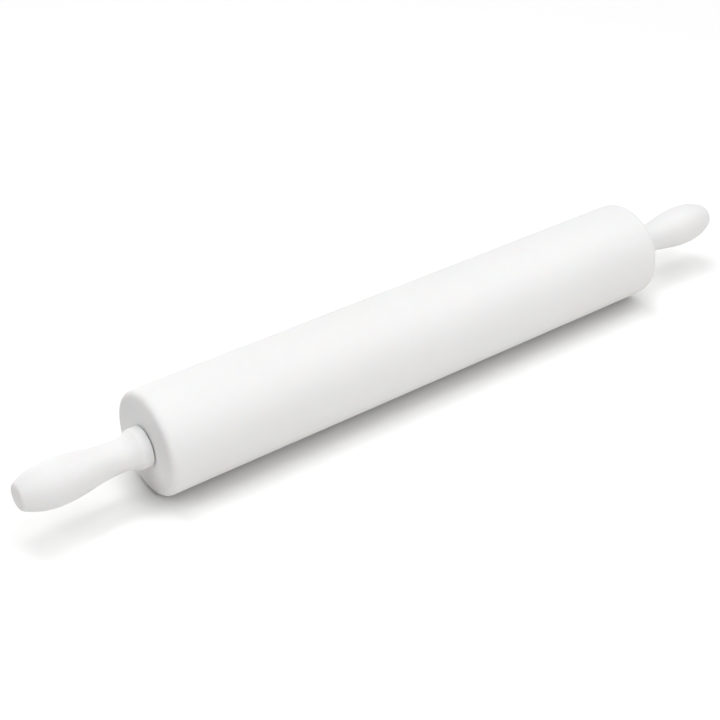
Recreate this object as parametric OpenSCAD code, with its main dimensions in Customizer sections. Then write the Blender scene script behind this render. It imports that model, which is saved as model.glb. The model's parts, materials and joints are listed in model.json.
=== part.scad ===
// Plastic rolling pin: a bored white roller that turns on two sealed ball
// bearings, with two plastic handles screwed to a steel axle.
// The pin's axis is X, Z is up, and the origin is the middle of the axis.
// Millimetres throughout.

/* [Roller] */
// Length of the roller between its end faces
roller_len = 300; // [220:1:400]
// Diameter of the rolling surface
roller_d = 50.8; // [46:0.1:70]
// Radius that rounds each end of the roller
roller_edge_r = 3.5; // [1:0.1:9]
// Diameter of the bore through the roller, behind the bearings
roller_bore_d = 13.5; // [12.5:0.1:14]
// Depth of each bearing below the roller's end face
bearing_recess = 1.2; // [0.5:0.1:6]
// Chamfer at the mouth of each bearing pocket
pocket_chamfer = 0.4; // [0.2:0.1:0.8]

/* [Handles] */
// Length of one handle, from the face beside the roller to its end
handle_len = 62; // [56:1:90]
// Diameter of the collar beside the roller
collar_d = 19.6; // [18.4:0.1:24]
// Length of the collar's straight part
collar_len = 4.6; // [2:0.1:8]
// Radius that rounds the collar's edge beside the roller
collar_edge_r = 0.5; // [0.2:0.1:1.5]
// Convex radius where the collar turns down towards the neck
collar_shoulder_r = 1.5; // [1:0.5:8]
// Concave radius that runs the collar into the neck
throat_r = 14; // [6:0.5:20]
// Diameter of the neck at its narrowest
neck_d = 15.2; // [14:0.1:18]
// Diameter of the grip at its fullest
grip_d = 21.4; // [19:0.1:30]
// Distance from the collar's face to the fullest part of the grip
grip_at = 44.5; // [38:0.5:48]
// Diameter of the flat on the handle's end
end_flat_d = 9; // [5:0.1:11]
// Radius that rounds the handle's end into its flat
end_edge_r = 2.5; // [1.5:0.1:4]

/* [Axle and spacers] */
// Diameter of the axle rod
axle_d = 8; // [7.6:0.1:8.4]
// Diameter of the axle's threaded ends
thread_d = 6; // [5:0.1:6.5]
// Length of thread that each handle holds
thread_grip = 14; // [8:0.5:16]
// Chamfer on the ends of the thread
thread_chamfer = 0.8; // [0.3:0.1:1.2]
// Diameter of the relief groove at the foot of the thread
relief_d = 4.9; // [4.2:0.1:4.9]
// Width of that relief groove
relief_w = 1; // [0.6:0.1:2]
// Distance that the rod's shoulder stays inside the collar spacer
shoulder_back = 0.5; // [0.2:0.1:0.9]
// Outer diameter of the long spacer tube and of the short collar spacers
spacer_d = 10.4; // [10:0.1:10.5]

/* [Threaded inserts] */
// Width of the hexagonal insert across its flats
insert_af = 9; // [8:0.1:10]
// Length of the insert
insert_len = 18; // [17:0.5:30]
// Number of grooves round the insert that lock it in the plastic
insert_grooves = 2; // [1:1:4]
// Width of each groove
insert_groove_w = 1.4; // [0.8:0.1:2]
// Diameter at the bottom of each groove
insert_groove_d = 8; // [7.2:0.1:8]

/* [Bearings] */
// Outer diameter of the bearing
bearing_od = 16; // [15.6:0.1:18]
// Width of the bearing
bearing_w = 5; // [4.8:0.1:7]
// Diameter of the circle through the ball centres
ball_circle_d = 12; // [11.9:0.02:12.1]
// Diameter of one ball
ball_d = 2.4; // [2.1:0.05:2.5]
// Number of balls in a bearing
ball_count = 9; // [5:1:10]
// Diameter of the inner race beside its ball track
inner_land_d = 10.5; // [10.3:0.1:10.7]
// Diameter of the outer race beside its ball track
outer_land_d = 13.5; // [13.4:0.1:13.7]
// Chamfer on the races' outer corners
race_chamfer = 0.3; // [0.1:0.05:0.4]
// Thickness of a seal disc
seal_t = 0.5; // [0.3:0.05:0.6]
// Depth of a seal disc below the bearing's side face
seal_recess = 0.15; // [0.1:0.05:0.3]
// Diameter of the groove that holds a seal's rim in the outer race
seal_rim_d = 14.3; // [14.1:0.05:14.6]
// Diameter of the outer race's lip outside the seal
seal_lip_d = 14; // [13.8:0.05:14]
// Thickness of the cage ring behind the balls
cage_back = 0.35; // [0.2:0.05:0.4]
// Reach of the cage past the ball centres on its open side
cage_prong = 0.85; // [0.6:0.05:0.95]

/* [Fits] */
// Gap between each handle's collar and the roller's end face
collar_gap = 0.5; // [0.4:0.05:2]
// Radial clearance between the axle and the inner races
journal_gap = 0.02; // [0.01:0.01:0.05]
// Radial clearance between the axle and the spacers around it
spacer_gap = 0.15; // [0.05:0.05:0.3]
// Radial clearance between the axle's thread and the insert
thread_gap = 0.05; // [0.02:0.01:0.1]
// Clearance between a ball and its tracks
track_gap = 0.05; // [0.02:0.01:0.08]
// Clearance between a ball and its pocket in the cage
ball_pocket_gap = 0.06; // [0.03:0.01:0.1]
// Radial clearance between the cage and both races
cage_gap = 0.25; // [0.15:0.05:0.3]
// Radial clearance between a seal and the inner race
seal_gap = 0.1; // [0.05:0.01:0.15]

/* [Hidden] */

$fn = 96;

// How far a cutting tool passes the face that it cuts
past = 1;

plastic_white = [0.93, 0.93, 0.92];
steel_grey = [0.72, 0.73, 0.74];
brass_yellow = [0.80, 0.66, 0.36];
nylon_cream = [0.90, 0.86, 0.74];
rubber_black = [0.08, 0.08, 0.08];

// Places along the axis at the right-hand end; the left-hand end mirrors them
roller_end = roller_len / 2;
race_out = roller_end - bearing_recess;
race_in = race_out - bearing_w;
bearing_mid = (race_in + race_out) / 2;
handle_face = roller_end + collar_gap;
axle_shoulder = handle_face - shoulder_back;
thread_end = handle_face + thread_grip;

// The handle's outline is a chain of arcs that meet tangentially
collar_r = collar_d / 2;
neck_r = neck_d / 2;
grip_r = grip_d / 2;
end_flat_r = end_flat_d / 2;

// Collar down to neck: a convex arc, then a concave one
flare_drop = collar_r - neck_r;
flare_radii = collar_shoulder_r + throat_r;
flare_len = sqrt(2 * flare_radii * flare_drop - pow(flare_drop, 2));
flare_angle = asin(flare_len / flare_radii);
neck_at = collar_len + flare_len;

// Neck up to grip: a concave and a convex arc of one radius
swell_rise = grip_r - neck_r;
swell_len = grip_at - neck_at;
swell_r = (pow(swell_len, 2) + pow(swell_rise, 2)) / (4 * swell_rise);
swell_angle = asin(swell_len / (2 * swell_r));

// Grip down to the end: a long convex arc, then the small end radius
tail_len = handle_len - end_edge_r - grip_at;
tail_drop = grip_r - end_flat_r;
tail_r = (pow(tail_len, 2) + pow(tail_drop, 2) - pow(end_edge_r, 2))
    / (2 * (tail_drop - end_edge_r));
tail_angle = atan2(tail_len, tail_r - tail_drop);

// Longest chord and widest turn of one facet along an arc
chord_max = 1.5;
turn_max = 8;

// Points after the start of an arc. The angle is 0 away from the axis and
// 90 towards the handle's end.
function arc(centre, r, from, to) =
    let (span = abs(to - from))
    let (steps = ceil(max(span / turn_max, r * span * PI / 180 / chord_max)))
    [for (i = [1:steps])
        let (a = from + (to - from) * i / steps)
        centre + r * [cos(a), sin(a)]];

// Solid of revolution about the pin's axis. The outline's X is the radius
// and its Y is the distance along the axis from start.
module turned(start = 0) {
    translate([start, 0, 0])
        rotate([0, 90, 0])
            rotate_extrude()
                children();
}

module rod(from, to, d) {
    translate([from, 0, 0])
        rotate([0, 90, 0])
            cylinder(h = to - from, d = d);
}

module cone(from, to, d_from, d_to) {
    translate([from, 0, 0])
        rotate([0, 90, 0])
            cylinder(h = to - from, d1 = d_from, d2 = d_to);
}

module tube(from, to, outer, inner) {
    difference() {
        rod(from, to, outer);
        rod(from - past, to + past, inner);
    }
}

module left() {
    mirror([1, 0, 0])
        children();
}

module handle_outline() {
    polygon(concat(
        [[0, 0], [collar_r - collar_edge_r, 0]],
        arc([collar_r - collar_edge_r, collar_edge_r], collar_edge_r, -90, 0),
        [[collar_r, collar_len]],
        arc([collar_r - collar_shoulder_r, collar_len], collar_shoulder_r, 0, flare_angle),
        arc([neck_r + throat_r, neck_at], throat_r, 180 + flare_angle, 180),
        arc([neck_r + swell_r, neck_at], swell_r, 180, 180 - swell_angle),
        arc([grip_r - swell_r, grip_at], swell_r, -swell_angle, 0),
        arc([grip_r - tail_r, grip_at], tail_r, 0, tail_angle),
        arc([end_flat_r, handle_len - end_edge_r], end_edge_r, tail_angle, 90),
        [[0, handle_len]]
    ));
}

// Outer form of the threaded insert, which the handle's cavity matches
module insert_form() {
    groove_step = insert_len / (insert_grooves + 1);
    difference() {
        translate([handle_face, 0, 0])
            rotate([0, 90, 0])
                cylinder(h = insert_len, d = insert_af / cos(30), $fn = 6);
        for (i = [1:insert_grooves])
            tube(handle_face + i * groove_step - insert_groove_w / 2,
                handle_face + i * groove_step + insert_groove_w / 2,
                insert_af * 2, insert_groove_d);
    }
}

module handle() {
    color(plastic_white)
        difference() {
            turned(handle_face)
                handle_outline();
            insert_form();
        }
}

module insert() {
    color(brass_yellow)
        difference() {
            insert_form();
            rod(handle_face - past, handle_face + insert_len + past,
                thread_d + 2 * thread_gap);
        }
}

module collar_spacer() {
    color(steel_grey)
        tube(race_out, handle_face, spacer_d, axle_d + 2 * spacer_gap);
}

// Ball track, cut into both races
module ball_track() {
    turned(bearing_mid)
        translate([ball_circle_d / 2, 0])
            circle(r = ball_d / 2 + track_gap);
}

module outer_race() {
    color(steel_grey)
        difference() {
            union() {
                cone(race_in, race_in + race_chamfer,
                    bearing_od - 2 * race_chamfer, bearing_od);
                rod(race_in + race_chamfer, race_out - race_chamfer, bearing_od);
                cone(race_out - race_chamfer, race_out,
                    bearing_od, bearing_od - 2 * race_chamfer);
            }
            rod(race_in - past, race_out + past, outer_land_d);
            ball_track();
            // Lips and rim grooves that hold the two seals
            rod(race_in - past, race_in + seal_recess, seal_lip_d);
            rod(race_in + seal_recess, race_in + seal_recess + seal_t, seal_rim_d);
            rod(race_out - seal_recess - seal_t, race_out - seal_recess, seal_rim_d);
            rod(race_out - seal_recess, race_out + past, seal_lip_d);
        }
}

module inner_race() {
    color(steel_grey)
        difference() {
            tube(race_in, race_out, inner_land_d, axle_d + 2 * journal_gap);
            ball_track();
        }
}

module each_ball() {
    for (i = [0:ball_count - 1])
        rotate([i * 360 / ball_count, 0, 0])
            translate([bearing_mid, 0, ball_circle_d / 2])
                children();
}

module balls() {
    color(steel_grey)
        each_ball()
            sphere(d = ball_d);
}

// Crown cage: the balls snap in from its open side, which faces outwards
module cage() {
    pocket_d = ball_d + 2 * ball_pocket_gap;
    color(nylon_cream)
        difference() {
            tube(bearing_mid - pocket_d / 2 - cage_back, bearing_mid + cage_prong,
                outer_land_d - 2 * cage_gap, inner_land_d + 2 * cage_gap);
            each_ball()
                sphere(d = pocket_d);
        }
}

module seal(from) {
    color(rubber_black)
        tube(from, from + seal_t, seal_rim_d, inner_land_d + 2 * seal_gap);
}

module outer_seal() {
    seal(race_out - seal_recess - seal_t);
}

module inner_seal() {
    seal(race_in + seal_recess);
}

module bearing_pocket() {
    rod(race_in, roller_end + past, bearing_od);
    cone(roller_end - pocket_chamfer, roller_end, bearing_od, bearing_od + 2 * pocket_chamfer);
}

module roller_outline() {
    body_r = roller_d / 2 - roller_edge_r;
    square([body_r, roller_len]);
    translate([0, roller_edge_r])
        square([roller_d / 2, roller_len - 2 * roller_edge_r]);
    for (centre_at = [roller_edge_r, roller_len - roller_edge_r])
        translate([body_r, centre_at])
            circle(r = roller_edge_r);
}

module roller() {
    color(plastic_white)
        difference() {
            turned(-roller_end)
                roller_outline();
            rod(-roller_end - past, roller_end + past, roller_bore_d);
            bearing_pocket();
            left()
                bearing_pocket();
        }
}

// One end of the axle: shoulder, relief groove, thread and chamfer
module axle_end() {
    rod(axle_shoulder, axle_shoulder + relief_w, relief_d);
    rod(axle_shoulder + relief_w, thread_end - thread_chamfer, thread_d);
    cone(thread_end - thread_chamfer, thread_end, thread_d, thread_d - 2 * thread_chamfer);
}

module axle() {
    color(steel_grey) {
        rod(-axle_shoulder, axle_shoulder, axle_d);
        axle_end();
        left()
            axle_end();
    }
}

module spacer_tube() {
    color(steel_grey)
        tube(-race_in, race_in, spacer_d, axle_d + 2 * spacer_gap);
}

roller();
axle();
spacer_tube();
left() handle();  // handle_left
left() insert();  // insert_left
left() collar_spacer();  // collar_spacer_left
left() outer_race();  // outer_race_left
left() inner_race();  // inner_race_left
left() balls();  // balls_left
left() cage();  // cage_left
left() outer_seal();  // outer_seal_left
left() inner_seal();  // inner_seal_left
handle();  // handle_right
insert();  // insert_right
collar_spacer();  // collar_spacer_right
outer_race();  // outer_race_right
inner_race();  // inner_race_right
balls();  // balls_right
cage();  // cage_right
outer_seal();  // outer_seal_right
inner_seal();  // inner_seal_right
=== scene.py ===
"""Looks of the plastic rolling pin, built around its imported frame.

A white roller turns on two sealed ball bearings between two turned white
handles. Lengths are metres, the pin's axis is X, +Z is up, and the pin lies
on a floor one roller radius below its axis.
"""

import json
import math

import bpy
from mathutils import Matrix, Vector


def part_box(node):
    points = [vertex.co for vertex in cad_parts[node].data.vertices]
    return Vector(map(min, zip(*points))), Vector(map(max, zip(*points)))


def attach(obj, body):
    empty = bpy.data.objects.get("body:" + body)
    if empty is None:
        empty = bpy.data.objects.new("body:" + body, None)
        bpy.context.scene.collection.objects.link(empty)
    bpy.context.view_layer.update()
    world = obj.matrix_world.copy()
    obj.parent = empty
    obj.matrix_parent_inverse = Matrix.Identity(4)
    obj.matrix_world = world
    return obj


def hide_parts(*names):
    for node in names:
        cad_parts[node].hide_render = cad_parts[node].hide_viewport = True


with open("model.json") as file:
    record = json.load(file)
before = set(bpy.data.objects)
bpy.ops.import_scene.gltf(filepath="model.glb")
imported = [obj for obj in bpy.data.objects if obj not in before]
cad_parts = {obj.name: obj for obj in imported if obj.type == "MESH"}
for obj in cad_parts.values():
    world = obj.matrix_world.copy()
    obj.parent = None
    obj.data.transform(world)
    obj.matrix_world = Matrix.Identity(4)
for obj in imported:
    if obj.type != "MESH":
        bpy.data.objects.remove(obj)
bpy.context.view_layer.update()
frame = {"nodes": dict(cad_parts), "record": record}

MM = 0.001

# Roller and bearings: the sizes that the frame gives
roller_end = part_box("roller")[1].x
roller_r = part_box("roller")[1].z
race_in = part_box("outer_race_right")[0].x
race_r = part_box("outer_race_right")[1].z

# Meshes: a ring of points this many edge radii from a corner keeps the flat beside it
# smooth, as one does on a handle's end flat at the flat's radius over this. Edges
# sharper than smooth_angle stay sharp.
edge_guard = 1.1
smooth_angle = math.radians(30)
roller_segments = 256
handle_segments = 192
metal_segments = 96

# Roller: the sizes that its outline adds
roller_edge_r = 3.5 * MM
roller_bore_r = 6.75 * MM
pocket_chamfer = 0.4 * MM

# Handle: the sizes that the frame gives
handle_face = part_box("handle_right")[0].x
handle_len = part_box("handle_right")[1].x - handle_face
grip_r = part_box("handle_right")[1].z
insert_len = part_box("insert_right")[1].x - handle_face
insert_flat_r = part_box("insert_right")[1].y

# Handle: the sizes that its outline adds
collar_r = 9.8 * MM
collar_len = 4.6 * MM
collar_edge_r = 0.5 * MM
collar_shoulder_r = 1.5 * MM
throat_r = 14 * MM
neck_r = 7.6 * MM
grip_at = 44.5 * MM
end_flat_r = 4.5 * MM
end_edge_r = 2.5 * MM
insert_grooves = 2
insert_groove_w = 1.4 * MM
insert_groove_r = 4 * MM

# Axle: the sizes that the frame gives
axle_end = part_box("axle")[1].x
axle_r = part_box("axle")[1].z

# Axle and its screw thread: the sizes that their outline adds
shoulder_at = handle_face - 0.5 * MM
relief_w = 1 * MM
relief_r = 2.45 * MM
thread_chamfer = 0.8 * MM
thread_pitch = 1 * MM
thread_crest_r = 3 * MM
thread_root_r = 2.4 * MM
thread_crest_share = 1 / 8
thread_root_share = 1 / 4
thread_play = 0.06 * MM
rows_per_turn = 8

# Plastic: the light that it scatters inside, and its gloss
scatter_share = 0.12
scatter_reach = 2 * MM
plastic_gloss = 0.4

# Textures: noise scales are per metre, and depths are those of the bumps. A spread
# is how far the roughness goes below and above its mean, as a share of it for metal.
cloud_scale = 18
cloud_contrast = 0.01
cloud_warmth = 0.003
lathe_scale = (900, 14, 14)
scuff_scale = 240
scuff_depth = 0.01 * MM
scuff_spread = (0.04, 0.05)
grain_scale = 2600
grain_depth = 0.006 * MM
ring_scale = (3000, 60, 60)
ring_depth = 0.004 * MM
metal_spread = 0.25
patch_scale = 350
haze_scale = 900
haze_roughness = (0.05, 0.14)
mould_spread = 0.06

# Noise seldom leaves this range
noise_low = 0.3
noise_high = 0.7

# Camera, fitted to the photograph
camera_at = Vector((-389.5, -481.3, 397.3)) * MM
camera_heading = math.radians(53.25)
camera_pitch = math.radians(-33.61)
camera_lens = 74.04
camera_sensor = 36
camera_clip = 10 * MM

# Page and floor: levels, where 1 is white. The floor is seen lighter than it bounces
# light, and in a narrow crevice beside the roller painted shade darkens the seen floor by
# the share given below.
page_white = 0.99
floor_seen = 1.145
floor_bounce = (0.83, 0.815, 0.795)
# Painted shade on the seen floor: how far its crevice test reaches, the share it darkens, and its
# samples
crevice_reach = 14 * MM
painted_shade_depth = 0.44
crevice_samples = 6

# Floor: its side, and how far from the pin's middle it fades to the page, in metres
floor_width = 8
fade_from = 0.35
fade_to = 0.65

# Softboxes: elevation and azimuth in degrees, and power in watts. Azimuth 90 is
# towards +Y. Each looks at the pin's middle from softbox_reach away.
softbox_reach = 1.5
softbox_side = 0.9
softboxes = {
    "top": (90, 0, 2.9),
    "back_high": (65, 90, 7.2),
    "back_low": (15, 90, 4.8),
    "front_high": (65, 315, 4.1),
    "front": (40, 270, 5.6),
    "front_low": (15, 270, 4.0),
    "left": (40, 180, 5.7),
    "right": (40, 0, 2.9),
}


def arc(centre, radius, start, end, turn=3):
    """Points after the start of an arc in the (along, outward) plane.

    Angles are degrees: 0 points outward and 90 along the axis. turn is the
    widest turn from one point to the next.
    """
    steps = math.ceil(abs(end - start) / turn)
    angles = [math.radians(start + (end - start) * i / steps) for i in range(1, steps + 1)]
    return [(centre[0] + radius * math.sin(a), centre[1] + radius * math.cos(a)) for a in angles]


def handle_outline():
    """(along, radius) points of the handle, from the collar's face to the end flat.

    The arcs meet tangentially: the collar's shoulder runs into the throat, two
    arcs of one radius swell from the neck to the grip, and a long arc with a
    small end radius closes the handle.
    """
    flare_drop = collar_r - neck_r
    flare_radii = collar_shoulder_r + throat_r
    flare_len = math.sqrt(2 * flare_radii * flare_drop - flare_drop ** 2)
    flare_angle = math.degrees(math.asin(flare_len / flare_radii))
    neck_at = collar_len + flare_len
    swell_rise = grip_r - neck_r
    swell_len = grip_at - neck_at
    swell_r = (swell_len ** 2 + swell_rise ** 2) / (4 * swell_rise)
    swell_angle = math.degrees(math.asin(swell_len / (2 * swell_r)))
    tail_len = handle_len - end_edge_r - grip_at
    tail_drop = grip_r - end_flat_r
    tail_r = (tail_len ** 2 + tail_drop ** 2 - end_edge_r ** 2) / (2 * (tail_drop - end_edge_r))
    tail_angle = math.degrees(math.atan2(tail_len, tail_r - tail_drop))
    long_turn = 1
    return (
        [(0, collar_r - edge_guard * collar_edge_r), (0, collar_r - collar_edge_r)]
        + arc((collar_edge_r, collar_r - collar_edge_r), collar_edge_r, -90, 0, turn=10)
        + [(collar_len, collar_r)]
        + arc((collar_len, collar_r - collar_shoulder_r), collar_shoulder_r, 0, flare_angle)
        + arc((neck_at, neck_r + throat_r), throat_r, 180 + flare_angle, 180)
        + arc((neck_at, neck_r + swell_r), swell_r, 180, 180 - swell_angle, long_turn)
        + arc((grip_at, grip_r - swell_r), swell_r, -swell_angle, 0, long_turn)
        + arc((grip_at, grip_r - tail_r), tail_r, 0, tail_angle, long_turn)
        + arc((handle_len - end_edge_r, end_flat_r), end_edge_r, tail_angle, 90)
        + [(handle_len, end_flat_r / edge_guard)]
    )


def hexagon(flat_r):
    """Function for a hexagon's radius at an angle from one of its corners."""
    side = math.radians(60)
    return lambda angle: flat_r / math.cos(angle % side - side / 2)


def insert_cavity():
    """(along, radius) points of the handle's cavity, from its bottom to its mouth.

    The plastic that fills the insert's grooves stands in from the hexagon.
    """
    six_sided = hexagon(insert_flat_r)
    step = insert_len / (insert_grooves + 1)
    points = [(insert_len, six_sided)]
    for i in range(insert_grooves, 0, -1):
        inner_edge, outer_edge = i * step - insert_groove_w / 2, i * step + insert_groove_w / 2
        points += [(outer_edge, six_sided), (outer_edge, insert_groove_r)]
        points += [(inner_edge, insert_groove_r), (inner_edge, six_sided)]
    return points + [(0, six_sided)]


def thread(x, play=0, widest=math.inf):
    """Function for a right-handed screw thread's radius at x, by angle.

    Sloping flanks join a flat crest to a flat root. play is added to the
    radius, and widest is the most that it may be.
    """
    flank_share = 1 - thread_crest_share - thread_root_share

    def radius(angle):
        phase = (x / thread_pitch - angle / (2 * math.pi)) % 1
        rise = min(max((abs(2 * phase - 1) - thread_root_share) / flank_share, 0), 1)
        return min(thread_root_r + rise * (thread_crest_r - thread_root_r) + play, widest)
    return radius


def thread_places(start, end):
    """Places along a thread, rows_per_turn of them in each turn."""
    steps = math.ceil((end - start) / thread_pitch * rows_per_turn)
    return [start + (end - start) * i / steps for i in range(steps + 1)]


def axle_outline():
    """(x, radius) points of the axle: a rod with a relief groove and a thread at each end."""
    ends = {}
    corners = [(shoulder_at, axle_r), (shoulder_at, relief_r), (shoulder_at + relief_w, relief_r)]
    for side in (-1, 1):
        ends[side] = [(side * x, radius) for x, radius in corners]
        for x in thread_places(shoulder_at + relief_w, axle_end):
            chamfered_r = thread_crest_r - max(x + thread_chamfer - axle_end, 0)
            ends[side].append((side * x, thread(side * x, widest=chamfered_r)))
    return ends[-1][::-1] + ends[1]


def insert_outline(side):
    """(along, radius) points round the insert's section: its outside, then its tapped bore."""
    bore = [(along, thread(side * (handle_face + along), thread_play))
            for along in thread_places(0, insert_len)]
    return insert_cavity()[::-1] + bore[::-1]


def roller_outline():
    """(along, radius) points right round the roller's section, as a closed loop."""
    half = (
        [(0, roller_r), (roller_end / 2, roller_r)]
        + [(roller_end - edge_guard * roller_edge_r, roller_r)]
        + [(roller_end - roller_edge_r, roller_r)]
        + arc((roller_end - roller_edge_r, roller_r - roller_edge_r), roller_edge_r, 0, 90)
        + [(roller_end, roller_r - edge_guard * roller_edge_r)]
        + [(roller_end, race_r + pocket_chamfer)]
        + [(roller_end - pocket_chamfer, race_r), (race_in, race_r)]
        + [(race_in, roller_bore_r), (0, roller_bore_r)]
    )
    return half + [(-along, radius) for along, radius in half[-2:0:-1]]


def turned(name, points, start=0, side=1, segments=handle_segments, closed=False):
    """Mesh object made by turning (along, radius) points about X.

    The points run forward along an outside and back along a bore. A radius may
    be a function of the angle, which is 0 at +Z. side is -1 for the left-hand
    end, and an open outline gets a flat cap at each end.
    """
    angles = [2 * math.pi * i / segments for i in range(segments)]
    verts = []
    for along, radius in points:
        for a in angles:
            r = radius(a) if callable(radius) else radius
            verts.append((side * (start + along), r * math.sin(a), r * math.cos(a)))
    rows = len(points)
    faces = []
    for row in range(rows if closed else rows - 1):
        here, there = row * segments, (row + 1) % rows * segments
        for i in range(segments):
            j = (i + 1) % segments
            faces.append((here + j, here + i, there + i, there + j))
    if not closed:
        for row, order in ((0, 1), (rows - 1, -1)):
            centre = len(verts)
            verts.append((side * (start + points[row][0]), 0, 0))
            ring = range(segments)[::order]
            faces += [(row * segments + a, row * segments + b, centre)
                      for a, b in zip(ring, [*ring[1:], ring[0]])]
    mesh = bpy.data.meshes.new(name)
    mesh.from_pydata(verts, [], faces)
    if side < 0:
        mesh.flip_normals()
    mesh.shade_smooth()
    mesh.set_sharp_from_angle(angle=smooth_angle)
    made = bpy.data.objects.new(name, mesh)
    bpy.context.scene.collection.objects.link(made)
    return made


class Surface:
    """A Principled material and short calls for the nodes that feed it."""

    def __init__(self, name, **values):
        self.material = bpy.data.materials.new(name)
        self.material.use_nodes = True
        self.tree = self.material.node_tree
        self.shader = self.tree.nodes["Principled BSDF"]
        for field, value in values.items():
            socket = field.replace("_", " ").title().replace("Ior", "IOR")
            self.shader.inputs[socket].default_value = value
        self.coords = self.tree.nodes.new("ShaderNodeTexCoord").outputs["Object"]

    def add(self, kind, links=(), **values):
        """Node of a kind, with its settings or socket values and its incoming links."""
        node = self.tree.nodes.new("ShaderNode" + kind)
        for field, value in values.items():
            if hasattr(node, field):
                setattr(node, field, value)
            else:
                node.inputs[field.replace("_", " ").title()].default_value = value
        for socket, source in dict(links).items():
            self.tree.links.new(source, node.inputs[socket])
        return node

    def stretched(self, x, y, z):
        """Object coordinates scaled along each axis."""
        return self.add("Mapping", {"Vector": self.coords}, scale=(x, y, z)).outputs["Vector"]

    def noise(self, scale, detail, vector=None):
        """Height of a noise texture."""
        node = self.add("TexNoise", {"Vector": vector or self.coords}, scale=scale, detail=detail)
        return node.outputs["Fac"]

    def between(self, factor, low, high):
        """A noise's usual range mapped to the range from low to high."""
        node = self.add("MapRange", {"Value": factor}, from_min=noise_low, from_max=noise_high,
                        to_min=low, to_max=high)
        return node.outputs["Result"]

    def tones(self, factor, first, second):
        """Two colours mixed by factor."""
        node = self.add("ValToRGB", {"Fac": factor})
        node.color_ramp.elements[0].color = (*first, 1)
        node.color_ramp.elements[1].color = (*second, 1)
        return node.outputs["Color"]

    def feed(self, socket, source):
        """Links a node's output to one of the shader's sockets."""
        self.tree.links.new(source, self.shader.inputs[socket])

    def bumps(self, *layers):
        """Bump from (height, depth in metres) layers, one over the other."""
        normal = None
        for height, depth in layers:
            node = self.add("Bump", {"Height": height}, distance=depth)
            if normal:
                self.tree.links.new(normal, node.inputs["Normal"])
            normal = node.outputs["Normal"]
        self.feed("Normal", normal)


def white_plastic(name, grey, roughness, lathe_marks):
    """Satin white plastic: faint clouding, uneven sheen and a fine grain.

    grey is its mean reflectance, and lathe_marks the depth of the turning
    rings left round the axis.
    """
    s = Surface(name, subsurface_weight=scatter_share, subsurface_scale=scatter_reach,
                specular_ior_level=plastic_gloss)
    clouds = s.between(s.noise(cloud_scale, detail=4), 0, 1)
    dull, clear = grey - cloud_contrast, grey + cloud_contrast
    s.feed("Base Color", s.tones(clouds, (dull, dull, dull - cloud_warmth), (clear, clear, clear)))
    rings = s.noise(1, detail=3, vector=s.stretched(*lathe_scale))
    scuffs = s.noise(scuff_scale, detail=5)
    grain = s.noise(grain_scale, detail=1)
    below, above = scuff_spread
    s.feed("Roughness", s.between(scuffs, roughness - below, roughness + above))
    s.bumps((rings, lathe_marks), (grain, grain_depth), (scuffs, scuff_depth))
    return s.material


def turned_metal(name, dark, light, roughness):
    """Metal with fine turning rings round the axis and slightly uneven polish."""
    s = Surface(name, metallic=1.0)
    rings = s.noise(1, detail=4, vector=s.stretched(*ring_scale))
    patches = s.noise(patch_scale, detail=3)
    s.feed("Base Color", s.tones(patches, dark, light))
    smooth, rough = (1 - metal_spread) * roughness, (1 + metal_spread) * roughness
    s.feed("Roughness", s.between(rings, smooth, rough))
    s.bumps((rings, ring_depth))
    return s.material


def polished_ball(name, dark, light):
    """Polished steel with a trace of grease haze."""
    s = Surface(name, metallic=1.0)
    haze = s.noise(haze_scale, detail=3)
    s.feed("Base Color", s.tones(haze, dark, light))
    s.feed("Roughness", s.between(haze, *haze_roughness))
    return s.material


def moulded(name, first, second, roughness, texture_scale, texture_depth):
    """Moulded nylon or rubber with a fine texture."""
    s = Surface(name, specular_ior_level=plastic_gloss)
    patches = s.noise(patch_scale, detail=3)
    texture = s.noise(texture_scale, detail=2)
    s.feed("Base Color", s.tones(patches, first, second))
    s.feed("Roughness", s.between(texture, roughness - mould_spread, roughness + mould_spread))
    s.bumps((texture, texture_depth))
    return s.material


def seen_factor(tree):
    """1 for rays that show the scene: camera, glossy and transmission rays."""
    path = tree.nodes.new("ShaderNodeLightPath")
    total = path.outputs["Is Camera Ray"]
    for name in ("Is Glossy Ray", "Is Transmission Ray"):
        most = tree.nodes.new("ShaderNodeMath")
        most.operation = "MAXIMUM"
        tree.links.new(total, most.inputs[0])
        tree.links.new(path.outputs[name], most.inputs[1])
        total = most.outputs[0]
    return total


def mixed(tree, factor, first, second):
    """Shader that turns from first to second as factor goes from 0 to 1."""
    mix = tree.nodes.new("ShaderNodeMixShader")
    for source, socket in zip((factor, first, second), mix.inputs):
        tree.links.new(source, socket)
    return mix.outputs[0]


def floor_painted_shade(tree):
    """Colour of the floor as it is seen, darkened by painted shade in the crevice beside the
    roller.
    """
    # Ambient occlusion darkens the seen colour: painted shade, not light from the lamps
    crevice = tree.nodes.new("ShaderNodeAmbientOcclusion")
    crevice.samples = crevice_samples
    crevice.inputs["Distance"].default_value = crevice_reach
    level = tree.nodes.new("ShaderNodeMapRange")
    level.inputs["To Min"].default_value = floor_seen * (1 - painted_shade_depth)
    level.inputs["To Max"].default_value = floor_seen
    tree.links.new(crevice.outputs["AO"], level.inputs["Value"])
    return level.outputs["Result"]


def page_fade(tree):
    """0 on the floor near the pin, and 1 where it has faded to page white."""
    place = tree.nodes.new("ShaderNodeTexCoord")
    distance = tree.nodes.new("ShaderNodeVectorMath")
    distance.operation = "LENGTH"
    tree.links.new(place.outputs["Object"], distance.inputs[0])
    fade = tree.nodes.new("ShaderNodeMapRange")
    fade.interpolation_type = "SMOOTHSTEP"
    fade.inputs["From Min"].default_value = fade_from
    fade.inputs["From Max"].default_value = fade_to
    tree.links.new(distance.outputs["Value"], fade.inputs["Value"])
    return fade.outputs["Result"]


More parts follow.
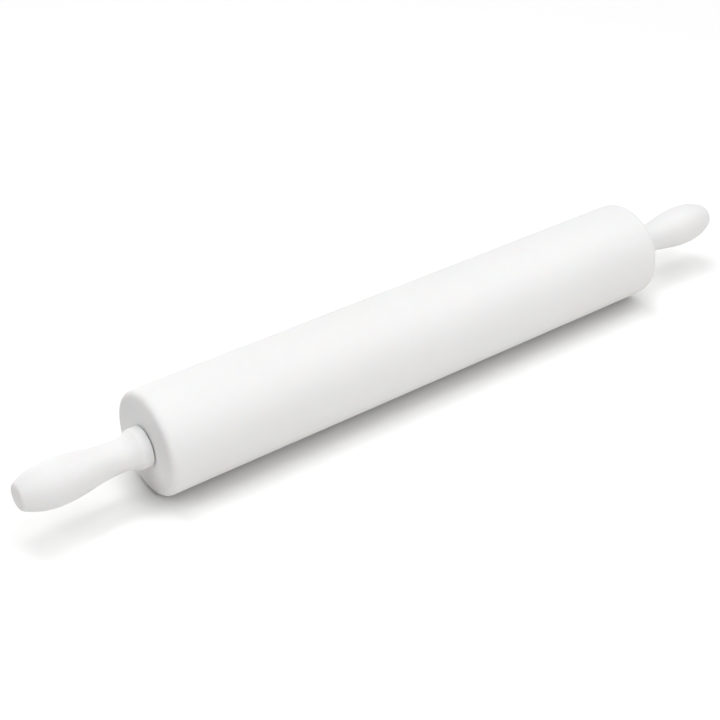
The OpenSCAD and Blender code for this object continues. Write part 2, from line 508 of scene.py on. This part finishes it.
def floor_material():
    """Pale floor that keeps the shadows near the pin and fades to page white."""
    material = bpy.data.materials.new("floor_paper")
    material.use_nodes = True
    tree = material.node_tree
    tree.nodes.remove(tree.nodes["Principled BSDF"])
    bounce = tree.nodes.new("ShaderNodeBsdfDiffuse")
    bounce.inputs["Color"].default_value = (*floor_bounce, 1)
    seen = tree.nodes.new("ShaderNodeBsdfDiffuse")
    # The seen floor carries painted shade in the crevice beside the roller
    tree.links.new(floor_painted_shade(tree), seen.inputs["Color"])
    white = tree.nodes.new("ShaderNodeEmission")
    white.inputs["Color"].default_value = (page_white, page_white, page_white, 1)
    page = mixed(tree, page_fade(tree), seen.outputs[0], white.outputs[0])
    surface = mixed(tree, seen_factor(tree), bounce.outputs[0], page)
    tree.links.new(surface, tree.nodes["Material Output"].inputs["Surface"])
    return material


def add_floor():
    """Square floor that the roller lies on."""
    half = floor_width / 2
    mesh = bpy.data.meshes.new("floor")
    mesh.from_pydata([(-half, -half, 0), (half, -half, 0), (half, half, 0), (-half, half, 0)],
                     [], [(0, 1, 2, 3)])
    floor = bpy.data.objects.new("floor", mesh)
    floor.location.z = -roller_r
    floor.data.materials.append(floor_material())
    bpy.context.scene.collection.objects.link(floor)


def add_sky():
    """World: page white where it is seen, and no light of its own."""
    world = bpy.data.worlds.new("studio")
    world.use_nodes = True
    tree = world.node_tree
    dark = tree.nodes["Background"]
    dark.inputs["Color"].default_value = (0, 0, 0, 1)
    page = tree.nodes.new("ShaderNodeBackground")
    page.inputs["Color"].default_value = (page_white, page_white, page_white, 1)
    surface = mixed(tree, seen_factor(tree), dark.outputs[0], page.outputs[0])
    tree.links.new(surface, tree.nodes["World Output"].inputs["Surface"])
    bpy.context.scene.world = world


def direction(heading, rise):
    """Unit vector with a heading from +X towards +Y and a rise, both in radians."""
    level = math.cos(rise)
    return Vector((level * math.cos(heading), level * math.sin(heading), math.sin(rise)))


def add_softbox(name, elevation, azimuth, power):
    """Square lamp that looks at the pin's middle and isn't seen by the camera."""
    light = bpy.data.lights.new("softbox_" + name, "AREA")
    light.shape = "SQUARE"
    light.size = softbox_side
    light.energy = power
    away = direction(math.radians(azimuth), math.radians(elevation))
    lamp = bpy.data.objects.new(light.name, light)
    lamp.location = softbox_reach * away
    lamp.rotation_euler = away.to_track_quat("Z", "Y").to_euler()
    lamp.visible_camera = False
    bpy.context.scene.collection.objects.link(lamp)


def add_camera():
    """The photograph's camera."""
    data = bpy.data.cameras.new("camera")
    data.lens = camera_lens
    data.sensor_width = camera_sensor
    data.clip_start = camera_clip
    camera = bpy.data.objects.new("camera", data)
    camera.location = camera_at
    forward = direction(camera_heading, camera_pitch)
    camera.rotation_euler = forward.to_track_quat("-Z", "Y").to_euler()
    bpy.context.scene.collection.objects.link(camera)
    bpy.context.scene.camera = camera


def dress(piece, slot):
    """Gives a new piece its finish and the record's slot of the same name."""
    piece.data.materials.append(finishes[slot])


finishes = {
    "roller_plastic": white_plastic(
        "roller_plastic", grey=0.9, roughness=0.5, lathe_marks=0.012 * MM),
    "handle_plastic": white_plastic(
        "handle_plastic", grey=0.89, roughness=0.44, lathe_marks=0.004 * MM),
    "stainless": turned_metal(
        "stainless", dark=(0.62, 0.62, 0.63), light=(0.72, 0.72, 0.72), roughness=0.28),
    "bearing_steel": turned_metal(
        "bearing_steel", dark=(0.60, 0.61, 0.63), light=(0.68, 0.69, 0.71), roughness=0.18),
    "brass": turned_metal(
        "brass", dark=(0.74, 0.56, 0.26), light=(0.82, 0.66, 0.36), roughness=0.3),
    "ball_steel": polished_ball(
        "ball_steel", dark=(0.74, 0.75, 0.76), light=(0.80, 0.81, 0.82)),
    "nylon": moulded(
        "nylon", first=(0.84, 0.78, 0.62), second=(0.88, 0.83, 0.69), roughness=0.45,
        texture_scale=2500, texture_depth=0.01 * MM),
    "seal_rubber": moulded(
        "seal_rubber", first=(0.025, 0.025, 0.026), second=(0.04, 0.04, 0.04), roughness=0.6,
        texture_scale=1800, texture_depth=0.02 * MM),
}

# Carried-over nodes take the finish that the record names for them
for subpart in frame["record"]["subparts"]:
    node = frame["nodes"][subpart["node"]]
    for material_slot in node.material_slots:
        material_slot.material = finishes[subpart["material_slot"]]

roller = turned("roller_shell", roller_outline(), segments=roller_segments, closed=True)
dress(roller, "roller_plastic")
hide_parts("roller")
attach(roller, "roller_body")

axle = turned("threaded_axle", axle_outline(), segments=metal_segments)
dress(axle, "stainless")
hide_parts("axle")
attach(axle, "handles_and_axle")

for end, side in (("left", -1), ("right", 1)):
    handle = turned("grip_" + end, insert_cavity() + handle_outline(), handle_face, side)
    dress(handle, "handle_plastic")
    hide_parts("handle_" + end)
    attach(handle, "handles_and_axle")
    insert = turned("tapped_insert_" + end, insert_outline(side), handle_face, side,
                    segments=metal_segments, closed=True)
    dress(insert, "brass")
    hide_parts("insert_" + end)
    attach(insert, "handles_and_axle")

add_floor()
add_sky()
for name, facts in softboxes.items():
    add_softbox(name, *facts)
add_camera()
bpy.context.scene.view_settings.view_transform = "Standard"
